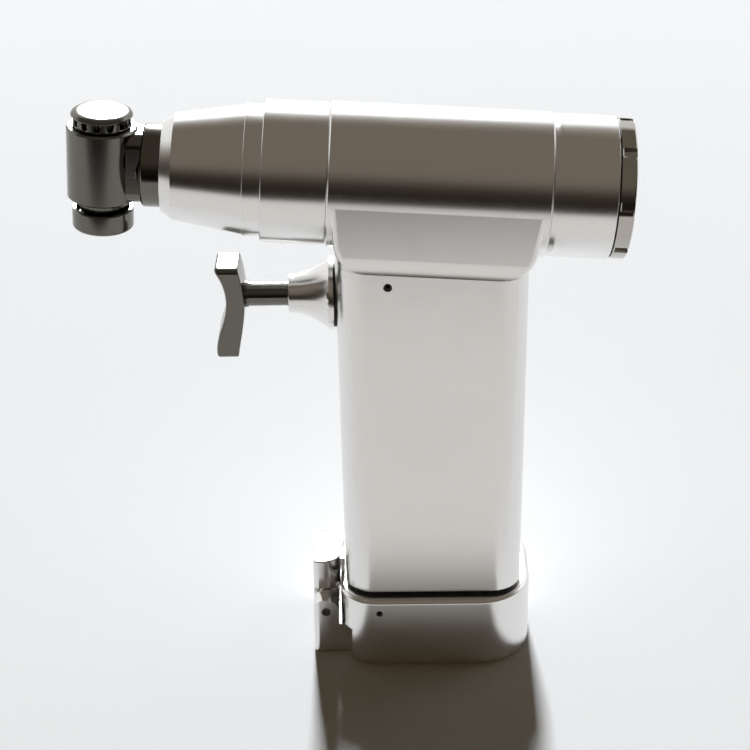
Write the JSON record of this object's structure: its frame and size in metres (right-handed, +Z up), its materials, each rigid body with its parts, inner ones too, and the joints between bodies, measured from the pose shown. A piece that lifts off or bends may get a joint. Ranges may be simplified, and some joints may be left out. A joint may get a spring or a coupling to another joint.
{
  "type": "surgical oscillating saw",
  "caption": "Battery saw handpiece with a round barrel, conical nose, upright blade-clamp head, trigger on a pistol handle and a latched battery lid as its foot.",
  "frame": {"origin": "middle of the battery lid's foot, on the surface it stands on, below the handle", "axes": "+Z up along the handle, -X towards the nose and blade head, +Y to the left of a user who looks along the nose"},
  "size_m": [0.1598, 0.0438, 0.1756],
  "materials": {
    "satin_steel": "satin polished stainless steel",
    "polished_steel": "polished stainless steel",
    "dark_screw": "blackened steel",
    "mirror_steel": "mirror polished",
    "dark_rubber": "matt black rubber",
    "bearing_steel": "ground steel",
    "spring_steel": "drawn wire",
    "machined_aluminium": "turned",
    "motor_iron": "dull iron",
    "bush_bronze": "turned bronze",
    "board_green": "solder mask",
    "component_black": "moulded",
    "case_plastic": "moulded",
    "cell_wrap": "wrapped cell, mean density near a lithium cell's"
  },
  "bodies": {
    "body": {"main_housing": "satin_steel", "handle_shell": "satin_steel", "handle_grub_screws": "dark_screw", "front_collar": "satin_steel", "rear_collar": "satin_steel", "rear_cap": "mirror_steel", "rear_cap_seal": "dark_rubber", "nose_cone": "satin_steel", "neck_lock_ring": "machined_aluminium", "head_body": "polished_steel", "spindle_bearing_upper": "bearing_steel", "spindle_bearing_lower": "bearing_steel", "button_guide": "polished_steel", "motor_can": "machined_aluminium", "motor_flange": "machined_aluminium", "motor_end_plate": "machined_aluminium", "shaft_bearing_front": "bearing_steel", "shaft_bearing_rear": "bearing_steel", "boss_gasket": "dark_rubber", "trigger_boss": "satin_steel", "trigger_bush": "bush_bronze", "trigger_sensor": "component_black", "control_board": "board_green", "board_components": "component_black", "contact_plate": "case_plastic", "contact_pins": "bush_bronze"},
    "trigger": {"trigger_plate": "polished_steel", "trigger_stem": "polished_steel", "trigger_clip": "polished_steel", "trigger_magnet": "motor_iron", "trigger_spring": "spring_steel"},
    "button": {"release_button": "polished_steel", "button_spring": "spring_steel"},
    "spindle": {"oscillating_spindle": "polished_steel", "fork_arm": "polished_steel", "blade_seat": "polished_steel"},
    "clamp": {"clamp_cap": "polished_steel", "draw_rod": "polished_steel", "draw_rod_nut": "polished_steel", "clamp_spring": "spring_steel"},
    "drive": {"motor_rotor": "motor_iron", "coupling_motor_half": "machined_aluminium", "coupling_shaft_half": "machined_aluminium", "coupling_spider": "dark_rubber", "drive_shaft": "polished_steel", "eccentric_bearing": "bearing_steel"},
    "lid": {"battery_lid": "satin_steel", "lid_seal": "dark_rubber", "lid_grub_screws": "dark_screw", "latch_pin": "polished_steel"},
    "battery": {"battery_case": "case_plastic", "battery_cell_1": "cell_wrap", "battery_cell_2": "cell_wrap", "battery_cell_3": "cell_wrap", "battery_cell_4": "cell_wrap", "battery_cell_5": "cell_wrap", "battery_cell_6": "cell_wrap", "battery_pads": "bush_bronze"},
    "latch": {"latch_lever": "satin_steel", "latch_spring": "spring_steel"}
  },
  "joints": [
    {"name": "trigger_pull", "type": "slide", "parent": "body", "child": "trigger", "axis": [1, 0, 0], "range_m": [0, 0.007], "stiffness_N_per_m": 600, "springref_m": -0.004, "deforming": ["trigger_spring"]},
    {"name": "button_press", "type": "slide", "parent": "body", "child": "button", "axis": [0.0671, 0, 0.9977], "range_m": [0, 0.002], "stiffness_N_per_m": 2500, "springref_m": -0.001, "deforming": ["button_spring"]},
    {"name": "spindle_swing", "type": "hinge", "parent": "body", "child": "spindle", "pos_m": [-0.09219, 0, 0.1587], "axis": [0.0671, 0, 0.9977], "range_deg": [-3.5, 3.5]},
    {"name": "clamp_lift", "type": "slide", "parent": "spindle", "child": "clamp", "axis": [0.0671, 0, 0.9977], "range_m": [0, 0.002], "stiffness_N_per_m": 4000, "springref_m": -0.001, "deforming": ["clamp_spring"]},
    {"name": "drive_spin", "type": "hinge", "parent": "body", "child": "drive", "pos_m": [0, 0, 0.1525], "axis": [0.9977, 0, -0.0671], "continuous": true},
    {"name": "lid_off", "type": "slide", "parent": "body", "child": "lid", "axis": [0, 0, -1], "range_m": [0, 0.065]},
    {"name": "battery_out", "type": "slide", "parent": "body", "child": "battery", "axis": [0, 0, -1], "range_m": [0, 0.065]},
    {"name": "latch_turn", "type": "hinge", "parent": "lid", "child": "latch", "pos_m": [-0.0327, 0, 0.0146], "axis": [0, -1, 0], "range_deg": [0, 40], "stiffness_Nm_per_rad": 0.12, "springref_deg": -20.05}
  ],
  "couplings": [
    {"joint": "clamp_lift", "follows": "button_press", "ratio": 1},
    {"joint": "battery_out", "follows": "lid_off", "ratio": 1}
  ]
}
